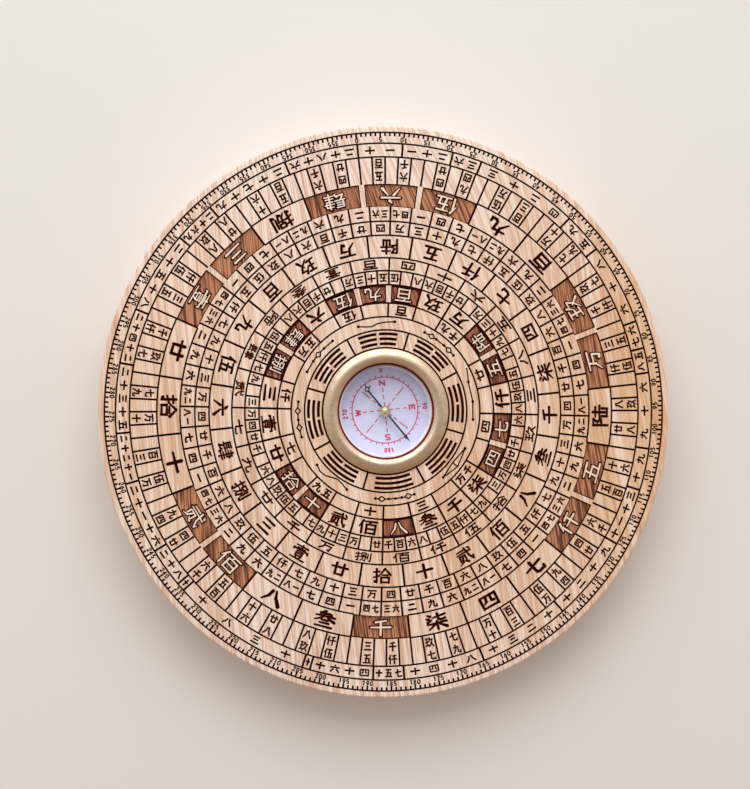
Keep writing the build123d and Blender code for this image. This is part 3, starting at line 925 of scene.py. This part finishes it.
def trigram_ring():
    """The eight trigrams round the bezel, their bars bent along the ring."""
    marks = []
    for place, bars in enumerate(TRIGRAMS):
        centre = place * 45
        marks.append(("line", divider(RING_LINES[12], BEZEL_LINE, centre + 22.5, TRIGRAM_DIVIDER)))
        for radius, whole in zip(TRIGRAM_RADII, bars):
            gap = degrees(TRIGRAM_GAP / 2 / radius)
            halves = [(-TRIGRAM_REACH, -gap), (gap, TRIGRAM_REACH)]
            for start, end in [(-TRIGRAM_REACH, TRIGRAM_REACH)] if whole else halves:
                for kind, grow in (("edge", BOLD_BURN_EDGE / 2), ("core", 0)):
                    half, more = TRIGRAM_BAR / 2 + grow, degrees(grow / radius)
                    first, last = centre + start - more, centre + end + more
                    shape = arc_cell(radius + half, radius - half, first, last, TRIGRAM_STEP)
                    marks.append((kind, shape))
    return marks


def engraving():
    """Every mark on the face, from the rim inwards."""
    marks = degree_scale() + uneven_ring() + narrow_ring()
    marks += direction_ring(RING_LINES[3], RING_LINES[4], 7.5, 0, (5.7, 4.2), 0.7, True)
    marks += broken_lines(RING_LINES[3], RING_LINES[4], 7.5)
    marks += sixty_rings()
    marks += direction_ring(RING_LINES[6], RING_LINES[7], -7.5, 5, (4.6, 3.9), 0.55, False)
    marks += star_ring_numerals() + seventy_two_ring()
    half = LINE_WIDTH / 2
    outer, inner = RING_LINES[9] - half, RING_LINES[10] + half
    marks += direction_ring(outer, inner, 0, 2, (4.7, 3.5), 0.56, True)
    marks += inner_pair_ring() + star_figures() + trigram_ring()
    return marks


# Solids raised from flat shapes. Points of shapes closer than this are one.
MERGE = 0.0005
SHARP_ANGLE = radians(30)


def segments_at(radius):
    """How many sides a circle takes to look round."""
    return 192 if radius > 50 else 144 if radius > 30 else 96


def shape_area(shape):
    """The signed area of a flat shape, which is positive when it runs counterclockwise."""
    pairs = zip(shape, shape[1:] + shape[:1])
    return sum(a[0] * b[1] - b[0] * a[1] for a, b in pairs) / 2


def triangulate(shapes, circles=()):
    """Triangles over all the shapes and circles at once: points, triangles, and the shapes over
    each triangle."""
    points, edges, faces = [], [], []
    for radius in circles:
        count, first = segments_at(radius), len(points)
        points += [Vector(at(radius, 360 * i / count)) for i in range(count)]
        edges += [(first + i, first + (i + 1) % count) for i in range(count)]
    for shape in shapes:
        if shape_area(shape) < 0:
            shape = shape[::-1]
        faces.append(list(range(len(points), len(points) + len(shape))))
        points += [Vector(p) for p in shape]
    made = geometry.delaunay_2d_cdt(points, edges, faces, 0, MERGE, True)
    return made[0], made[2], made[5]


def stepped_mesh(points, triangles, levels, finishes, wall_finish):
    """Vertices, faces and finishes of a surface whose triangles lie at their own levels, with
    walls between."""
    heights_at = {}
    for triangle, level in zip(triangles, levels):
        for corner in triangle:
            heights_at.setdefault(corner, set()).add(level)
    vertices, lookup = [], {}

    def vertex(corner, level):
        key = (corner, level)
        if key not in lookup:
            lookup[key] = len(vertices)
            vertices.append((points[corner][0], points[corner][1], level))
        return lookup[key]

    faces, kinds, owner = [], [], {}
    for index, triangle in enumerate(triangles):
        faces.append([vertex(corner, levels[index]) for corner in triangle])
        kinds.append(finishes[index])
        for a, b in zip(triangle, triangle[1:] + triangle[:1]):
            owner[(a, b)] = index
    for (a, b), index in owner.items():
        other = owner.get((b, a))
        if other is None or levels[other] >= levels[index]:
            continue
        high, low = levels[index], levels[other]
        down = [vertex(a, z) for z in sorted(heights_at[a], reverse=True) if low <= z <= high]
        rise = [vertex(b, z) for z in sorted(heights_at[b]) if low <= z <= high]
        faces.append(down + rise)
        kinds.append(wall_finish)
    return vertices, faces, kinds, vertex, owner


def mesh_from(name, vertices, faces, kinds, materials):
    """A smooth-shaded mesh in metres, sharp where it turns by more than 30 degrees."""
    mesh = bpy.data.meshes.new(name)
    mesh.from_pydata([[c * MM for c in v] for v in vertices], [], faces)
    for material in materials:
        mesh.materials.append(material)
    mesh.polygons.foreach_set("material_index", kinds)
    mesh.polygons.foreach_set("use_smooth", [True] * len(faces))
    mesh.set_sharp_from_angle(angle=SHARP_ANGLE)
    mesh.update()
    return mesh


def rim_loop(owner, points, radius, reach=0.1):
    """The open boundary near a radius, as corners in clockwise order of ring angle."""
    open_corners = {a for (a, b) in owner if (b, a) not in owner}
    near = [c for c in open_corners if abs(hypot(*points[c]) - radius) < reach]
    return sorted(near, key=lambda c: atan2(points[c][0], points[c][1]))


# Finishes of the disc, in the order of its material slots
PLAIN, SCORED, SINGED, CHARRED, OUTER_PANEL, INNER_PANEL, RUBBED = range(7)
# A raised numeral's outline takes the scored char, as painted shade round the foot of its strokes.
FINISH_OF = {
    "line": SCORED, "edge": SINGED, "core": CHARRED, "border": CHARRED, "panel": OUTER_PANEL,
    "outline": SCORED, "raised": RUBBED,
}
DEPTH_OF = {
    "line": LINE_DEPTH, "edge": LINE_DEPTH, "core": LINE_DEPTH,
    "border": PANEL_DEPTH, "panel": PANEL_DEPTH, "outline": PANEL_DEPTH, "raised": 0,
}
BORE_PLAY = 0.05
# Ring lines that aren't whole circles, because they run only along the light cells
PARTIAL_LINES = (3, 4)


def engraved_disc(finishes):
    """The wooden disc: its engraved face, rounded edges, flat underside and stepped bore."""
    marks = engraving()
    ring_circles = [r for i, r in enumerate(RING_LINES) if i not in PARTIAL_LINES] + [BEZEL_LINE]
    half = LINE_WIDTH / 2
    face_radius = DISC_RADIUS - EDGE_RADIUS
    circles = [c for r in ring_circles for c in (r + half, r - half)] + [face_radius, SKIRT_BORE]
    points, triangles, sources = triangulate([shape for _, shape in marks], circles)
    kept, levels, looks = [], [], []
    for triangle, over in zip(triangles, sources):
        middle = sum((points[c] for c in triangle), Vector((0, 0))) / 3
        if middle.length < SKIRT_BORE:
            continue
        kind = max((marks[i][0] for i in over), key=KINDS.index, default=None)
        on_ring = any(abs(middle.length - r) < half for r in ring_circles)
        if on_ring and kind in (None, "edge", "line"):
            kind = "line"
        kept.append(list(triangle))
        levels.append(FACE_HEIGHT - DEPTH_OF[kind] if kind else FACE_HEIGHT)
        inner_panel = kind == "panel" and middle.length < RING_LINES[6]
        looks.append(INNER_PANEL if inner_panel else FINISH_OF[kind] if kind else PLAIN)
    vertices, faces, kinds, vertex, owner = stepped_mesh(points, kept, levels, looks, SINGED)
    outer = rim_loop(owner, points, face_radius)
    bore = rim_loop(owner, points, SKIRT_BORE)
    skirt_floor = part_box("bezel_ring")[0].z / MM - BORE_PLAY
    cup_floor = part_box("capsule_cup")[0].z / MM
    turns = [i * pi / 2 / EDGE_STEPS for i in range(1, EDGE_STEPS + 1)]
    edge = [(face_radius + EDGE_RADIUS * sin(t), EDGE_RADIUS * (1 - cos(t))) for t in turns]
    outside = [(r, FACE_HEIGHT - z) for r, z in edge] + edge[::-1] + [(face_radius, 0)]
    inside = [(SKIRT_BORE, skirt_floor), (CUP_BORE, skirt_floor), (CUP_BORE, cup_floor)]
    sides = ((outer, outside, True, 0), (bore, inside, False, cup_floor))
    for loop, profile, outward, cap_height in sides:
        above = [vertex(c, FACE_HEIGHT) for c in loop]
        for radius, height in profile:
            below = []
            for corner in loop:
                direction = Vector(points[corner]).normalized() * radius
                below.append(len(vertices))
                vertices.append((direction.x, direction.y, height))
            for i in range(len(loop)):
                j = (i + 1) % len(loop)
                quad = [above[i], above[j], below[j], below[i]]
                faces.append(quad if outward else quad[::-1])
                kinds.append(PLAIN)
            above = below
        centre = len(vertices)
        vertices.append((0, 0, cap_height))
        for i in range(len(loop)):
            j = (i + 1) % len(loop)
            wedge = [above[i], above[j], centre]
            faces.append(wedge if outward else wedge[::-1])
            kinds.append(PLAIN)
    return mesh_from("engraved_disc", vertices, faces, kinds, finishes)


def printed_slab(name, shapes, bottom, top, material):
    """Thin ink in the outline of flat shapes, as a closed slab."""
    points, triangles, sources = triangulate(shapes)
    inked = [list(t) for t, over in zip(triangles, sources) if over]
    vertices, faces, lookup = [], [], {}

    def vertex(corner, height):
        if (corner, height) not in lookup:
            lookup[(corner, height)] = len(vertices)
            vertices.append((points[corner][0], points[corner][1], height))
        return lookup[(corner, height)]

    edges = {(a, b) for t in inked for a, b in zip(t, t[1:] + t[:1])}
    for triangle in inked:
        faces.append([vertex(c, top) for c in triangle])
        faces.append([vertex(c, bottom) for c in reversed(triangle)])
    for a, b in edges:
        if (b, a) not in edges:
            faces.append([vertex(a, top), vertex(a, bottom), vertex(b, bottom), vertex(b, top)])
    return mesh_from(name, vertices, faces, [0] * len(faces), [material])


# Pieces from node trees

def new_tree(name, sizes):
    """A geometry tree with named inputs. Each size is (name, kind of socket, default)."""
    tree = bpy.data.node_groups.new(name, "GeometryNodeTree")
    tree.interface.new_socket("Geometry", in_out="INPUT", socket_type="NodeSocketGeometry")
    for label, kind, value in sizes:
        socket = tree.interface.new_socket(label, in_out="INPUT", socket_type=kind)
        if value is not None:
            socket.default_value = value
    tree.interface.new_socket("Geometry", in_out="OUTPUT", socket_type="NodeSocketGeometry")
    return tree, add(tree, "NodeGroupInput")


def baked(name, start, tree, values):
    """The plain mesh that a tree makes from a start mesh, as a piece at the origin."""
    maker = bpy.data.objects.new(name + "_maker", start)
    bpy.context.scene.collection.objects.link(maker)
    modifier = maker.modifiers.new("maker", "NODES")
    modifier.node_group = tree
    for item in tree.interface.items_tree:
        if item.in_out == "INPUT" and item.name in values:
            modifier[item.identifier] = values[item.name]
    graph = bpy.context.evaluated_depsgraph_get()
    mesh = bpy.data.meshes.new_from_object(maker.evaluated_get(graph), depsgraph=graph)
    maker.modifiers.remove(modifier)
    bpy.data.objects.remove(maker)
    mesh.name = name
    mesh.set_sharp_from_angle(angle=SHARP_ANGLE)
    return link(name, mesh)


# Points this close in metres become one, at a turned piece's seam and on its axis.
SEAM = 1e-7


def lathe_tree():
    """Turns a closed section in the XZ plane about the Z axis, in a number of steps."""
    tree, given = new_tree("turned_section", [
        ("Steps", "NodeSocketInt", 96), ("Finish", "NodeSocketMaterial", None),
    ])
    section = given.outputs["Geometry"]
    count = add(tree, "GeometryNodeAttributeDomainSize", {"Geometry": section}, component="MESH")
    rows = add(tree, "ShaderNodeMath", {0: count.outputs["Point Count"], 1: 1.0}, operation="ADD")
    columns = add(tree, "ShaderNodeMath", {0: given.outputs["Steps"], 1: 1.0}, operation="ADD")
    grid = add(tree, "GeometryNodeMeshGrid", {
        "Vertices X": rows.outputs[0], "Vertices Y": columns.outputs[0],
    })
    index = add(tree, "GeometryNodeInputIndex")
    share = add(tree, "ShaderNodeMath", {0: index.outputs[0], 1: columns.outputs[0]},
                operation="DIVIDE")
    row = add(tree, "ShaderNodeMath", {0: share.outputs[0]}, operation="FLOOR")
    column = add(tree, "ShaderNodeMath", {0: index.outputs[0], 1: columns.outputs[0]},
                 operation="MODULO")
    around = add(tree, "ShaderNodeMath", {0: row.outputs[0], 1: count.outputs["Point Count"]},
                 operation="MODULO")
    turn = add(tree, "ShaderNodeMath", {0: column.outputs[0], 1: 2 * pi}, operation="MULTIPLY")
    angle = add(tree, "ShaderNodeMath", {0: turn.outputs[0], 1: given.outputs["Steps"]},
                operation="DIVIDE")
    place = add(tree, "GeometryNodeInputPosition")
    point = add(tree, "GeometryNodeSampleIndex", {
        "Geometry": section, "Index": around.outputs[0],
    }, data_type="FLOAT_VECTOR")
    tree.links.new(place.outputs[0], point.inputs["Value"])
    spun = add(tree, "ShaderNodeVectorRotate", {
        "Vector": point.outputs[0], "Angle": angle.outputs[0],
    }, rotation_type="Z_AXIS")
    moved = add(tree, "GeometryNodeSetPosition", {
        "Geometry": grid.outputs["Mesh"], "Position": spun.outputs[0],
    })
    # The grid's faces point into the piece, so they are turned round.
    outward = add(tree, "GeometryNodeFlipFaces", {"Mesh": moved.outputs[0]})
    merged = add(tree, "GeometryNodeMergeByDistance", {
        "Geometry": outward.outputs[0], "Distance": SEAM,
    })
    smooth = add(tree, "GeometryNodeSetShadeSmooth", {0: merged.outputs[0]})
    real = add(tree, "GeometryNodeRealizeInstances", {0: smooth.outputs[0]})
    painted = add(tree, "GeometryNodeSetMaterial", {
        "Geometry": real.outputs[0], "Material": given.outputs["Finish"],
    })
    add(tree, "NodeGroupOutput", {0: painted.outputs[0]})
    return tree


def turned(name, section, material, steps):
    """A piece turned from a closed section of (radius, height) points, with its outside on the
    right of the line."""
    start = bpy.data.meshes.new(name + "_section")
    corners = [(radius * MM, 0, height * MM) for radius, height in section]
    start.from_pydata(corners, [(i, (i + 1) % len(corners)) for i in range(len(corners))], [])
    return baked(name, start, LATHE, {"Steps": steps, "Finish": material})


def tick_tree():
    """Flat ticks set round a circle, pointing outwards."""
    tree, given = new_tree("ticks_round_a_circle", [
        ("Count", "NodeSocketInt", 36), ("Radius", "NodeSocketFloat", 1.0),
        ("Length", "NodeSocketFloat", 1.0), ("Width", "NodeSocketFloat", 1.0),
        ("Thickness", "NodeSocketFloat", 1.0), ("Centre", "NodeSocketVector", None),
        ("Finish", "NodeSocketMaterial", None),
    ])
    middle = add(tree, "ShaderNodeMath", {
        0: given.outputs["Length"], 1: 0.5, 2: given.outputs["Radius"],
    }, operation="MULTIPLY_ADD")
    circle = add(tree, "GeometryNodeMeshCircle", {
        "Vertices": given.outputs["Count"], "Radius": middle.outputs[0],
    })
    size = add(tree, "ShaderNodeCombineXYZ", {
        0: given.outputs["Length"], 1: given.outputs["Width"], 2: given.outputs["Thickness"],
    })
    tick = add(tree, "GeometryNodeMeshCube", {"Size": size.outputs[0]})
    index = add(tree, "GeometryNodeInputIndex")
    turn = add(tree, "ShaderNodeMath", {0: index.outputs[0], 1: 2 * pi}, operation="MULTIPLY")
    angle = add(tree, "ShaderNodeMath", {0: turn.outputs[0], 1: given.outputs["Count"]},
                operation="DIVIDE")
    turned_by = add(tree, "ShaderNodeCombineXYZ", {2: angle.outputs[0]})
    ticks = add(tree, "GeometryNodeInstanceOnPoints", {
        "Points": circle.outputs[0], "Instance": tick.outputs["Mesh"],
        "Rotation": turned_by.outputs[0],
    })
    lifted = add(tree, "GeometryNodeTransform", {
        "Geometry": ticks.outputs[0], "Translation": given.outputs["Centre"],
    })
    real = add(tree, "GeometryNodeRealizeInstances", {0: lifted.outputs[0]})
    painted = add(tree, "GeometryNodeSetMaterial", {
        "Geometry": real.outputs[0], "Material": given.outputs["Finish"],
    })
    add(tree, "NodeGroupOutput", {0: painted.outputs[0]})
    return tree


def quarter(centre, reach, start, end, steps):
    """Points of an ellipse's arc in a section, from one angle in degrees to another."""
    turns = [radians(start + (end - start) * i / steps) for i in range(steps + 1)]
    return [(centre[0] + reach[0] * cos(t), centre[1] + reach[1] * sin(t)) for t in turns]


CORNER_STEPS = 4
BEND_STEPS = 10
LIP_DROP = 0.1
# A bend starts this many degrees past the end of the corner beside it, so no two points meet.
BEND_GAP = 2


def bezel_section():
    """The bezel's section: crowned flange, slope down to the lip, and the skirt in the bore."""
    bottom, top = (corner.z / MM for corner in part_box("bezel_ring"))
    lip_under = FACE_HEIGHT - LIP_DROP
    outer_bend = (BEZEL_RADIUS - BEZEL_CROWN) / sin(radians(OUTER_SLOPE))
    inner_bend = (BEZEL_CROWN - WINDOW_RADIUS) / sin(radians(INNER_SLOPE))
    drops = []
    for bend, slope in ((outer_bend, radians(OUTER_SLOPE)), (inner_bend, radians(INNER_SLOPE))):
        drops.append(bend * (1 - cos(slope)) + CORNER_EASE * (1 - sin(slope)) / cos(slope))
    corner = (CORNER_EASE, CORNER_EASE)
    outer_corner = (BEZEL_RADIUS - CORNER_EASE, top - drops[0])
    inner_corner = (WINDOW_RADIUS + CORNER_EASE, top - drops[1])
    return [
        (WINDOW_RADIUS, lip_under), (SKIRT_RADII[0], lip_under), (SKIRT_RADII[0], bottom),
        (SKIRT_RADII[1], bottom), (SKIRT_RADII[1], FACE_HEIGHT), (BEZEL_RADIUS, FACE_HEIGHT),
        *quarter(outer_corner, corner, 0, 90 - OUTER_SLOPE, CORNER_STEPS),
        *quarter((BEZEL_CROWN, top - outer_bend), (outer_bend, outer_bend),
                 90 - OUTER_SLOPE + BEND_GAP, 90, BEND_STEPS),
        *quarter((BEZEL_CROWN, top - inner_bend), (inner_bend, inner_bend),
                 90, 90 + INNER_SLOPE - BEND_GAP, BEND_STEPS)[1:],
        *quarter(inner_corner, corner, 90 + INNER_SLOPE, 180, CORNER_STEPS),
    ]


# Print on the card, with dashes as (start, end) along the radius
CROSS_DASHES = ((1.2, 2.2), (2.9, 4.05), (4.85, 5.95))
DIAGONAL_DASHES = ((1.2, 2.4), (3.05, 4.2), (4.9, 7.75))
DIAL_DIGITS = {"radius": 10.68, "size": (0.66, 1.02), "weight": 0.29, "pitch": 0.92}
DIAL_LETTERS = {"radius": 7.25, "size": (1.6, 1.4), "weight": 0.42}
CIRCLE_LINE = 0.26


def dial_shapes():
    """The red print on the card: numbers, compass points, dashed cross and broken diagonals."""
    shapes = []
    for angle, letter in ((0, "N"), (90, "E"), (180, "S"), (270, "W")):
        shapes += row_in_ring(str(angle), angle=angle, outward=True, **DIAL_DIGITS)
        shapes += numeral_in_ring(letter, angle=angle, outward=True, **DIAL_LETTERS)
        shapes += [divider(end, start, angle, DASH_WIDTH) for start, end in CROSS_DASHES]
        shapes += [divider(end, start, angle + 45, DASH_WIDTH) for start, end in DIAGONAL_DASHES]
        high, low = TICK_CIRCLE + CIRCLE_LINE / 2, TICK_CIRCLE - CIRCLE_LINE / 2
        shapes.append(arc_cell(high, low, angle, angle + 90, 3))
    return [[(x + PRINT_CENTRE[0], y + PRINT_CENTRE[1]) for x, y in shape] for shape in shapes]


FLOOR_REACH = 3.0
SOFTBOX_PLACE = (0.02, 0.53, 0.55)
SOFTBOX_SIZE = (0.8, 0.6)
SOFTBOX_POWER = 3.6


def make_floor():
    """A plain pale floor under the disc."""
    material, _, shader = new_material("pale_floor")
    shader.inputs["Base Color"].default_value = colour("#E9E7E4")
    shader.inputs["Roughness"].default_value = 0.7
    mesh = bpy.data.meshes.new("floor")
    signs = ((-1, -1), (1, -1), (1, 1), (-1, 1))
    corners = [(FLOOR_REACH * x, FLOOR_REACH * y, 0) for x, y in signs]
    mesh.from_pydata(corners, [], [(0, 1, 2, 3)])
    floor = link("floor", mesh, material)


def make_light():
    """A large softbox high up beyond the disc's mark 0, and a pale world."""
    data = bpy.data.lights.new("softbox", "AREA")
    data.shape = "RECTANGLE"
    data.size, data.size_y = SOFTBOX_SIZE
    data.energy = SOFTBOX_POWER
    lamp = bpy.data.objects.new("softbox", data)
    place = Vector(SOFTBOX_PLACE)
    lamp.location = place
    lamp.rotation_euler = (-place).to_track_quat("-Z", "Y").to_euler()
    bpy.context.scene.collection.objects.link(lamp)
    world = bpy.data.worlds.new("studio")
    bpy.context.scene.world = world
    world.use_nodes = True
    tree = world.node_tree
    side = add(tree, "ShaderNodeSeparateXYZ", {
        0: add(tree, "ShaderNodeTexCoord").outputs["Generated"],
    })
    # The room is brightest beyond the disc's mark 0, warm and dimmer beyond its mark 180, and
    # dimmer straight above, where a camera stands.
    share = add(tree, "ShaderNodeMapRange", {0: side.outputs["Y"], 1: -0.8, 2: 0.2})
    tint = add(tree, "ShaderNodeMix", {
        0: share.outputs[0], 6: colour("#E3BE9A"), 7: colour("#F6F4F4"),
    }, data_type="RGBA")
    glow = add(tree, "ShaderNodeMapRange", {
        0: side.outputs["Y"], 1: -0.8, 2: 0.9, 3: 0.48, 4: 1.08,
    })
    dim = add(tree, "ShaderNodeMapRange", {
        0: side.outputs["Z"], 1: 0.80, 2: 0.97, 3: 1.0, 4: 0.45,
    })
    strength = add(tree, "ShaderNodeMath", {0: glow.outputs[0], 1: dim.outputs[0]},
                   operation="MULTIPLY")
    background = tree.nodes["Background"]
    tree.links.new(tint.outputs[2], background.inputs["Color"])
    tree.links.new(strength.outputs[0], background.inputs["Strength"])


make_camera()
make_light()
make_floor()

GRAIN = grain_tree()
# Planed beech, sealed with thin lacquer: even and fine, with soft bands, thin brown veins and
# little shine.
beech = make_wood("planed_beech", "#F6E5D8", "#E3BA8E", (
    ("Bands", 0.42, 0.62, 0.54, "#FDEBDD"), ("Growth", 0.45, 1.0, 0.38, "#D59B70"),
    ("Fibres", 0.46, 0.66, 0.30, "#FEEEE0"), ("Veins", 0.88, 0.97, 0.42, "#C3855A"),
    ("Flecks", 0.54, 0.70, 0.44, "#C2845C"),
), 0.52, 0.04)
# The figures that stand out of a panel: the same beech, rubbed clean of burn, so it is a little
# paler.
clean_beech = make_wood("rubbed_beech", "#F8E2D0", "#F2D5BC", (
    ("Fibres", 0.44, 0.64, 0.4, "#FDF0E4"), ("Flecks", 0.62, 0.74, 0.3, "#C98F66"),
), 0.52, 0.04)
# Beech burnt away in shallow fields by a laser: brown and rough, with dark growth lines.
outer_panel = make_wood("laser_toned_beech", "#C08159", "#C4845A", (
    ("Bands", 0.45, 0.60, 0.30, "#CE946C"), ("Fibres", 0.46, 0.62, 0.45, "#D29A72"),
    ("Growth", 0.70, 1.0, 0.40, "#6E341A"), ("Veins", 0.89, 0.96, 0.85, "#45170A"),
    ("Flecks", 0.50, 0.62, 0.65, "#6A2C14"),
), 0.78, 0.1)
# The inner fields were burnt harder, so they are darker and redder.
inner_panel = make_wood("laser_browned_beech", "#AE6748", "#B26C4B", (
    ("Fibres", 0.46, 0.62, 0.45, "#C28564"), ("Growth", 0.70, 1.0, 0.40, "#5A2812"),
    ("Veins", 0.89, 0.96, 0.85, "#3A160A"), ("Flecks", 0.50, 0.62, 0.6, "#5C2612"),
), 0.78, 0.1)
# Beech cut by a laser. Thin lines show dark brown, and the same char is the painted shade round the
# raised numerals.
thin_char = make_char("laser_scored_beech", "#3C150A", "#2A0E08")
# Walls of the cuts and edges of the strokes are only singed, so they show mid brown.
edge_char = make_char("laser_singed_beech", "#A4663F", "#8A4A28")
# Broad strokes were burnt longest, and show nearly black.
char = make_char("laser_charred_beech", "#34110A", "#240A06")
gold, acrylic = make_bezel_gold(), make_acrylic()
# Moulded silicone rubber: matt, deep red.
rubber = make_plain("red_silicone_rubber", "#6A0E12", "#7A161A", 0.55, 0.7, 0.8, specular=0.3)
# Moulded ABS: white, with a low even gloss.
white_abs = make_plain("white_moulded_abs", "#F1F0F4", "#F8F8FB", 0.3, 0.4, 1.5)
# Printed PVC sheet: a cool white with a lilac cast, and a soft sheen.
card = make_plain("printed_pvc_card", "#CFD0EE", "#D6D7F3", 0.45, 0.55, 2.0)
# Screen ink: rose red, flat.
ink = make_plain("red_screen_ink", "#BE0E3C", "#CC1E48", 0.5, 0.6, 0.4)
# Drawn aluminium: pale grey, brushed by the die.
tin = make_plain("drawn_aluminium", "#B9BBBE", "#C8CACC", 0.3, 0.45, 1.0, 1.0)
# Turned brass, dulled by handling: pale gold, with soft highlights.
brass = make_plain("turned_brass", "#CDB88C", "#DBC9A2", 0.42, 0.54, 0.5, 1.0)
# Hardened steel, ground: cool grey and bright.
steel = make_plain("hardened_steel", "#9FA3A8", "#B4B8BC", 0.2, 0.3, 0.5, 1.0)
# Blued and lacquered steel: black, with hardly a shine.
lacquer = make_plain("black_lacquered_steel", "#050507", "#0A0A0D", 0.45, 0.6, 0.5, specular=0.2)
# Polished agate: brown red and glossy.
agate = make_plain("agate_jewel", "#8A3B2B", "#A65240", 0.1, 0.2, 0.4)

LATHE = lathe_tree()

disc = link("engraved_disc", engraved_disc(
    [beech, thin_char, edge_char, char, outer_panel, inner_panel, clean_beech]
))
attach(disc, "plate")
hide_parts("wood_disc")

bezel = turned("gold_bezel", bezel_section(), gold, BEZEL_STEPS)
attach(bezel, "plate")
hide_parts("bezel_ring")

seal_bottom, seal_top = (corner.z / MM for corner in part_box("seal_ring"))
seal = turned("red_gasket", [
    (SEAL_RADIUS, seal_bottom), (STACK_RADIUS, seal_bottom), (STACK_RADIUS, seal_top),
    (SEAL_RADIUS, seal_top),
], rubber, STACK_STEPS)
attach(seal, "plate")
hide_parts("seal_ring")

lens_bottom, lens_top = (corner.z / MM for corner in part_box("cover_lens"))
lens = turned("clear_window", [
    (0, lens_bottom), (STACK_RADIUS - LENS_CHAMFER, lens_bottom),
    (STACK_RADIUS, lens_bottom + LENS_CHAMFER), (STACK_RADIUS, lens_top - LENS_CHAMFER),
    (STACK_RADIUS - LENS_CHAMFER, lens_top), (0, lens_top),
], acrylic, STACK_STEPS)
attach(lens, "plate")
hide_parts("cover_lens")

collar_bottom, collar_top = (corner.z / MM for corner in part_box("spacer_ring"))
collar = turned("white_collar", [
    (COLLAR_RADIUS, collar_bottom), (STACK_RADIUS, collar_bottom), (STACK_RADIUS, collar_top),
    (COLLAR_RADIUS + COLLAR_CHAMFER, collar_top), (COLLAR_RADIUS, collar_top - COLLAR_CHAMFER),
], white_abs, STACK_STEPS)
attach(collar, "plate")
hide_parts("spacer_ring")

dial_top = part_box("dial_card")[1].z / MM
dial_print = link("dial_print", printed_slab(
    "dial_print", dial_shapes(), dial_top, dial_top + PRINT_THICKNESS, ink
))
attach(dial_print, "plate")

ticks = baked("dial_ticks", bpy.data.meshes.new("dial_ticks_start"), tick_tree(), {
    "Count": TICK_COUNT, "Radius": (TICK_CIRCLE + TICK_GAP) * MM, "Length": TICK_LENGTH * MM,
    "Width": TICK_WIDTH * MM, "Thickness": PRINT_THICKNESS * MM, "Finish": ink,
    "Centre": (PRINT_CENTRE[0] * MM, PRINT_CENTRE[1] * MM, (dial_top + PRINT_THICKNESS / 2) * MM),
})
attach(ticks, "plate")

for node, material in (
    ("dial_card", card), ("capsule_cup", tin), ("pivot_foot", brass), ("pivot_pin", steel),
    ("needle_blade", lacquer), ("needle_cap", brass), ("cap_jewel", agate),
):
    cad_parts[node].data.materials[0] = material

bpy.context.scene.view_settings.view_transform = "Standard"
